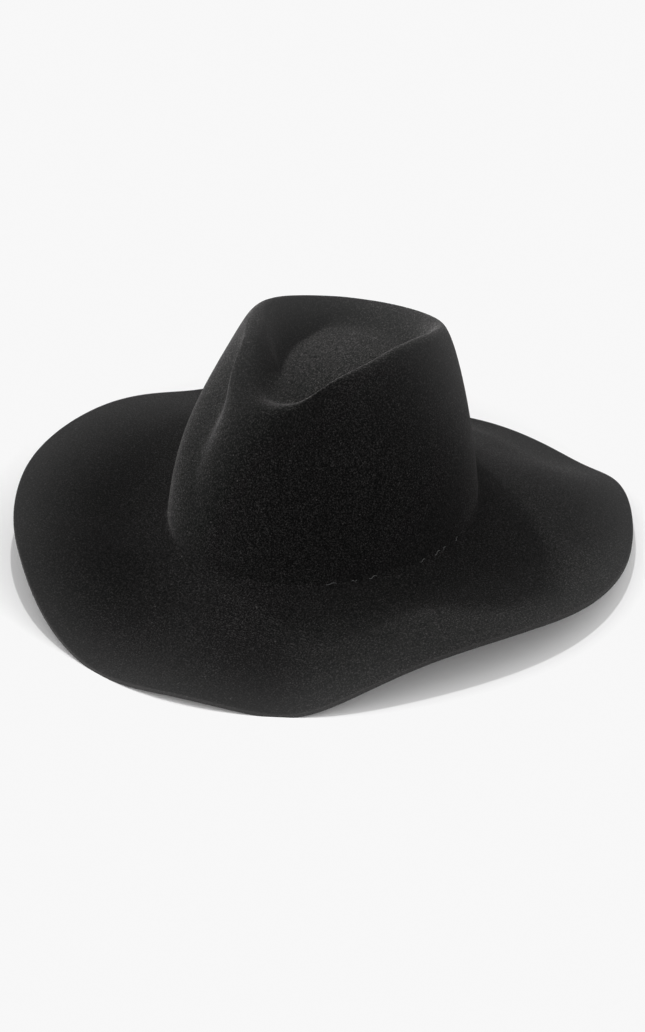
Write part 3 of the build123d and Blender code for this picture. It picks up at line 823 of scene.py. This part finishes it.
def tape_stitches():
    stitches = []
    for angle in np.arange(2, 358, 4.5):
        angle = angle + rng.normal(0, 0.1)
        height = 5.4 + rng.normal(0, 0.06)
        stitches.append(band_stitch(angle, height, 2.6 + rng.normal(0, 0.1)))
    return threads("tape_stitches_visual", stitches)


def joint_stitches():
    """Zigzag up the joint at the back."""
    stitches = [band_stitch(180.0, 19 + 2.0 * k, 3.2, lean=0.55 * (-1) ** k, wiggle=0.03)
                for k in range(9)]
    return threads("joint_stitches_visual", stitches)


BOW_MIDDLE = row_at([180.0], 12.5, FACE + 4.7)[0]


def bow_loops():
    points, faces = [], []
    s = np.linspace(0.02, 0.98, 61)
    arch = np.sin(np.pi * s)
    for side in (1, -1):
        x = side * (0.2 + 16.2 * arch ** 0.85)
        y = 1.75 * np.sin(TAU * s) * arch ** 0.3 + 0.15 * np.sin(3 * np.pi * s)
        path = BOW_MIDDLE + np.stack([x, y, 0.25 * side * arch], 1)
        thick = unit(np.cross(unit(np.gradient(path, axis=0)), Z_UP))
        half_width = 1.7 + 1.3 * arch ** 0.5
        part = sweep("bow_part", path, thick, Z_UP, RIBBON_HALF, half_width)
        base = len(points)
        points += [np.array(vertex.co) * 1000.0 for vertex in part.data.vertices]
        faces += [[base + i for i in polygon.vertices] for polygon in part.data.polygons]
        bpy.data.objects.remove(part, do_unlink=True)
    return mesh_object("bow_loops_visual", points, faces)


def squared(values):
    """Pushes a sine or cosine outwards, so a circle becomes a rounded square."""
    return np.sign(values) * np.abs(values) ** 0.6


def bow_knot():
    a = round_angles(48)
    path = BOW_MIDDLE + np.stack([0.12 * np.sin(3 * a), 2.25 * squared(np.cos(a)),
                                  3.15 * squared(np.sin(a))], 1)
    out = np.stack([0 * a, np.cos(a), np.sin(a)], 1)
    return sweep("bow_knot_visual", path, out, np.array([1.0, 0, 0]), RIBBON_HALF,
                 1.45 + 0.1 * np.cos(4 * a), closed=True)


def care_label():
    """Blank hanging flap with a slight curl at its free lower end."""
    depth = FACE + 1.25
    before, upper, after = row_at([CARE_ANGLE - 1, CARE_ANGLE, CARE_ANGLE + 1], CARE_TOP, depth)
    lower = row_at([CARE_ANGLE], CARE_TOP - CARE_LENGTH, depth)[0]
    across = after - before
    across[2] = 0
    across = unit(across)
    upward = upper - lower
    upward = unit(upward - across * (upward @ across))
    inward = np.cross(across, upward)
    if inward @ (-upper * (1, 1, 0)) < 0:
        inward = -inward
    s = np.linspace(0, 1, 23)
    curl = 0.9 * smooth((s - 0.55) / 0.45) ** 1.5
    path = upper - upward * (CARE_LENGTH * s)[:, None] + inward * curl[:, None]
    thick = unit(np.cross(unit(np.gradient(path, axis=0)), across))
    return sweep("care_label_visual", path, thick, across, 0.19, CARE_HALF_WIDTH)


def label_stitches():
    """Four upright stitches 5.5 mm apart above the care label."""
    stitches = []
    for k in range(4):
        angle = CARE_ANGLE + arc_degrees((k - 1.5) * 5.5)
        start, end = (row_at([angle], height, FACE + 0.25)[0] for height in (36.9, 37.9))
        normal = unit(-start * (1, 1, 0))
        stitches.append(Stitch(start, end, normal, radius=0.18, lift=0.08, wiggle=0.0))
    return threads("label_stitches_visual", stitches)


place(sweatband(), leather_material(), "sweatband")
place(reed_tape(), tape_cloth, "reed_tape")
place(hoop("reed_visual", arc(REED_MIDDLE, REED_RADIUS, 0, 337.5, 16), 288),
      reed_plastic, "sweatband_reed")
place(lining_side(), satin_side, "lining_side_band")
place(piping_cord(), piping, "lining_piping")
place(lining_tip(), satin_tip, "lining_tip")
place(sheet("joint_tape_visual", (176.2, 183.8), (10.5, 36.0), BAND_BACK - 0.25, 0.17),
      tape_cloth, "sweatband_joint_tape")
place(sheet("size_label_visual", (196, 206), (14, 30), FACE + 0.225, 0.12, pucker=0.05),
      label_cloth, "size_label")
place(tape_stitches(), thread_black, "tape_stitches")
place(joint_stitches(), thread_black, "joint_stitches")
bow_parts = bow_loops(), bow_knot()
place(bow_parts[0], ribbon, "bow_loops")
place(bow_parts[1], ribbon, "bow_knot")
place(care_label(), label_cloth, "care_label", body="care_label_flap")
place(label_stitches(), thread_black, "label_stitches")

# ------------------------------------------------------------------ thread in the bend of the felt
CREASE_COLUMN = TOP_COLUMNS - 1 + WALL_COLUMNS - 1 + BEND_COLUMNS // 2
# loose thread ends: angle in degrees, then length, height, tilt and radius in mm
LOOSE = [(36.0, 6.5, 0.6, 0.3, 0.2), (44.5, 3.2, 0.4, 0.2, 0.18), (51.5, 5.0, 0.5, 0.4, 0.2),
         (71.0, 3.4, 0.4, 0.6, 0.18), (77.5, 4.2, 0.5, 0.8, 0.2), (81.0, 2.6, 0.4, 0.5, 0.18),
         (88.0, 2.8, 0.4, 0.6, 0.18)]


def crease_span(middle, half, height):
    """Two points on the crease half an angle (degrees) either side, and the normal at the first."""
    points, normals = outside_grid[:, CREASE_COLUMN], outside_normals[:, CREASE_COLUMN]
    ends = []
    for degrees in (middle - half, middle + half):
        row = (degrees % 360) / 360 * ROWS
        i, share = int(row) % ROWS, row - int(row)
        j = (i + 1) % ROWS
        normal = normals[i] * (1 - share) + normals[j] * share
        ends.append((points[i] * (1 - share) + points[j] * share + normal * height, normals[i]))
    return ends[0][0], ends[1][0], ends[0][1]


def lockstitches():
    stitches = []
    for k in range(90):
        angle = (k + 0.5) * 4.0 + rng.normal(0, 0.15)
        half = arc_degrees(rng.uniform(0.5, 0.85))
        stitches.append(Stitch(*crease_span(angle, half, 0.02), radius=0.16, lift=0.04,
                               wiggle=rng.normal(0, 0.08)))
    for angle, length, height, tilt, radius in LOOSE:
        start, end, normal = crease_span(angle, arc_degrees(length / 2), height)
        wiggle = rng.choice([-1, 1]) * rng.uniform(0.2, 0.55)
        stitches.append(Stitch(start - Z_UP * tilt, end + Z_UP * tilt, normal, radius, 0.35,
                               wiggle))
    return threads("lockstitch_visual", stitches)


lock = lockstitches()
# the sunk stitches take the darker copy of the thread: painted shade
place(lock, thread_painted_shade, "sweatband_lockstitches")
lock.data.materials.append(thread_grey)      # the loose ends are paler: painted light on the same thread
slots = np.zeros(len(lock.data.polygons), dtype=np.int32)
slots[-len(THREAD_FACES) * len(LOOSE):] = 1
lock.data.polygons.foreach_set("material_index", slots)

# ------------------------------------------------------------------ floor and lights, in metres
scene = bpy.context.scene
KEY_PLACE = np.array([0.348, -0.619, 1.133]) + SHIFT / 1000
KEY, FILL = 0.283, 0.722               # shares of the floor's light at the origin
KEY_COSINE = float(KEY_PLACE[2] / np.linalg.norm(KEY_PLACE))    # slant of the key light there
FLOOR_HALF = 6.0
FLOOR_BRIGHTNESS = 0.928
FLOOR_GLOW = 0.038
# soft patches of sky: azimuth and height in degrees, strength; a higher power is narrower
SKY_LOBES = [(0.0, 45.0, 2.05), (60.0, 45.0, 2.91), (0.0, 12.0, 0.16), (45.0, 12.0, 0.21)]
SKY_POWER = 8.0
SKY_SEEN = 0.93                        # strength of the sky where the camera sees it
# suns on the hat only: azimuth and height in degrees, strength, angular size in degrees
SIDE_LIGHTS = [(284.0, 6.0, 7.4, 45.0), (250.0, 12.0, 1.8, 50.0), (320.0, 20.0, 1.8, 60.0),
               (120.0, 8.0, 1.2, 40.0)]


def direction(azimuth, height):
    """Unit vector; azimuth from the front towards +X, both in radians."""
    return (math.sin(azimuth) * math.cos(height), -math.cos(azimuth) * math.cos(height),
            math.sin(height))


def add_floor():
    """Pale floor whose colour evens out the fall of the key light."""
    mesh = bpy.data.meshes.new("floor")
    s = FLOOR_HALF
    mesh.from_pydata([(-s, -s, 0), (s, -s, 0), (s, s, 0), (-s, s, 0)], [], [(0, 1, 2, 3)])
    obj = bpy.data.objects.new("floor", mesh)
    scene.collection.objects.link(obj)

    material, tree, _ = new_material("pale_floor")
    geometry = add_node(tree, "ShaderNodeNewGeometry").outputs
    to_key = vector_maths(tree, "SUBTRACT", tuple(KEY_PLACE), geometry["Position"])[0]
    distance = vector_maths(tree, "LENGTH", to_key)["Value"]
    cosine = maths(tree, "DIVIDE", float(KEY_PLACE[2]), distance)
    light = maths(tree, "MULTIPLY_ADD", cosine, KEY / KEY_COSINE, FILL)
    albedo = maths(tree, "DIVIDE", FLOOR_BRIGHTNESS * (KEY + FILL), light)
    color = combine(tree, [maths(tree, "MINIMUM", albedo, 0.99)] * 3)
    diffuse = add_node(tree, "ShaderNodeBsdfDiffuse", {"Color": color})
    glow = add_node(tree, "ShaderNodeEmission", {"Color": (1.0, 0.955, 0.955, 1),
                                                 "Strength": FLOOR_GLOW})
    lit = add_node(tree, "ShaderNodeAddShader", {0: diffuse.outputs[0], 1: glow.outputs[0]})
    # clear when the camera is below it, so the underside of the hat can be looked at
    clear = add_node(tree, "ShaderNodeBsdfTransparent")
    ray = add_node(tree, "ShaderNodeLightPath").outputs["Is Camera Ray"]
    below = maths(tree, "MULTIPLY", geometry["Backfacing"], ray)
    surface = add_node(tree, "ShaderNodeMixShader",
                       {0: below, 1: lit.outputs[0], 2: clear.outputs[0]})
    set_inputs(tree, tree.nodes.get("Material Output"), {"Surface": surface.outputs[0]})
    mesh.materials.append(material)


def add_sky():
    world = bpy.data.worlds.new("studio")
    scene.world = world
    world.use_nodes = True
    tree = world.node_tree
    coords = add_node(tree, "ShaderNodeTexCoord").outputs["Generated"]
    total = None
    for azimuth, height, strength in SKY_LOBES:
        toward = direction(math.radians(azimuth), math.radians(height))
        facing = vector_maths(tree, "DOT_PRODUCT", coords, toward)["Value"]
        spread = maths(tree, "POWER", maths(tree, "MAXIMUM", facing, 0.0), SKY_POWER)
        lobe = add_node(tree, "ShaderNodeMath", {0: spread, 1: strength, 2: 0.0},
                        operation="MULTIPLY_ADD")
        if total is not None:
            tree.links.new(total, lobe.inputs[2])
        total = lobe.outputs[0]
    # seen directly, which happens only from under the floor, the sky is plain and pale
    seen = add_node(tree, "ShaderNodeLightPath").outputs["Is Camera Ray"]
    shown = add_node(tree, "ShaderNodeMix", {"Factor": seen, "A": total, "B": SKY_SEEN},
                     data_type="FLOAT")
    set_inputs(tree, tree.nodes["Background"], {"Color": (1, 1, 1, 1),
                                                "Strength": shown.outputs["Result"]})


def add_light(name, kind, location):
    lamp = bpy.data.lights.new(name, kind)
    obj = bpy.data.objects.new(name, lamp)
    scene.collection.objects.link(obj)
    obj.location = location
    return lamp, obj


def add_key_light():
    """Small lamp whose strength does not fall with distance."""
    lamp, _ = add_light("key", "POINT", KEY_PLACE)
    lamp.shadow_soft_size = 0.012
    lamp.energy = KEY / KEY_COSINE * 4 * math.pi * math.pi
    lamp.use_nodes = True
    tree = lamp.node_tree
    falloff = add_node(tree, "ShaderNodeLightFalloff", {"Strength": 1.0})
    set_inputs(tree, tree.nodes.get("Emission"), {"Strength": falloff.outputs["Constant"]})


def hat_collection():
    """Everything but the floor, to receive the lights meant for the hat."""
    receivers = bpy.data.collections.new("hat_receives")
    scene.collection.children.link(receivers)
    for obj in list(scene.objects):
        if obj.type == "MESH" and obj.name != "floor" and not obj.hide_render:
            receivers.objects.link(obj)
    return receivers


def add_hat_light(name, kind, location, target, receivers):
    lamp, obj = add_light(name, kind, location)
    obj.rotation_mode = "QUATERNION"
    obj.rotation_quaternion = (Vector(location) - Vector(target)).to_track_quat("Z", "Y")
    obj.light_linking.receiver_collection = receivers
    return lamp


def add_hat_lights():
    receivers = hat_collection()
    for i, (azimuth, height, strength, size) in enumerate(SIDE_LIGHTS):
        toward = Vector(direction(math.radians(azimuth), math.radians(height)))
        sun = add_hat_light(f"side_{i}", "SUN", toward * 2, (0, 0, 0), receivers)
        sun.energy = strength
        sun.angle = math.radians(size)
    spot = add_hat_light("top", "SPOT", (-0.57, 0.21, 0.86), (-0.002, 0.005, 0.135), receivers)
    spot.energy = 235.0
    spot.spot_size = math.radians(12.0)
    spot.spot_blend = 1.0
    spot.shadow_soft_size = 0.08


# ------------------------------------------------------------------ camera and picture
CAMERA_AZIMUTH, CAMERA_HEIGHT = 0.55228, 0.51469    # radians
CAMERA_DISTANCE = 1.81703
CAMERA_RIGHT, CAMERA_RAISE = -0.00402, 0.02606      # shift sideways and up
CAMERA_LENS = 104.973035                            # mm, on a sensor 36 mm wide
VEIL = [(111, 0.051), (330, 0.010)]    # size of each Blur node and how much of it is added
WHITE = 0.935                          # brightest value the picture reaches


def add_camera():
    back = np.array(direction(CAMERA_AZIMUTH, CAMERA_HEIGHT))
    right = np.array([math.cos(CAMERA_AZIMUTH), math.sin(CAMERA_AZIMUTH), 0.0])
    position = (right * CAMERA_RIGHT + Z_UP * CAMERA_RAISE + back * CAMERA_DISTANCE
                + SHIFT / 1000.0)
    camera = bpy.data.cameras.new("cam")
    camera.lens = CAMERA_LENS
    camera.sensor_width = 36.0
    camera.clip_start = 0.05
    camera.clip_end = 50
    obj = bpy.data.objects.new("cam", camera)
    scene.collection.objects.link(obj)
    matrix = np.eye(4)
    matrix[:3] = np.stack([right, np.cross(back, right), back, position], 1)
    obj.matrix_world = Matrix(matrix.tolist())
    scene.camera = obj


def add_veil():
    """Scattered light from the bright floor, as in a real lens, under a limit on white."""
    scene.use_nodes = True
    tree = scene.node_tree
    tree.nodes.clear()
    picture = add_node(tree, "CompositorNodeRLayers").outputs["Image"]
    veiled = picture
    for size, share in VEIL:
        soft = add_node(tree, "CompositorNodeBlur", {"Image": picture},
                        filter_type="FAST_GAUSS", size_x=size, size_y=size)
        veiled = add_node(tree, "CompositorNodeMixRGB",
                          {0: share, 1: veiled, 2: soft.outputs["Image"]},
                          blend_type="ADD").outputs["Image"]
    limited = add_node(tree, "CompositorNodeMixRGB",
                       {0: 1.0, 1: veiled, 2: (WHITE, WHITE, WHITE, 1.0)}, blend_type="DARKEN")
    add_node(tree, "CompositorNodeComposite", {"Image": limited.outputs["Image"]})


add_floor()
add_sky()
add_key_light()
add_hat_lights()
add_camera()
scene.view_settings.view_transform = "Standard"
scene.view_settings.look = "None"
scene.view_settings.exposure = 0.0
add_veil()
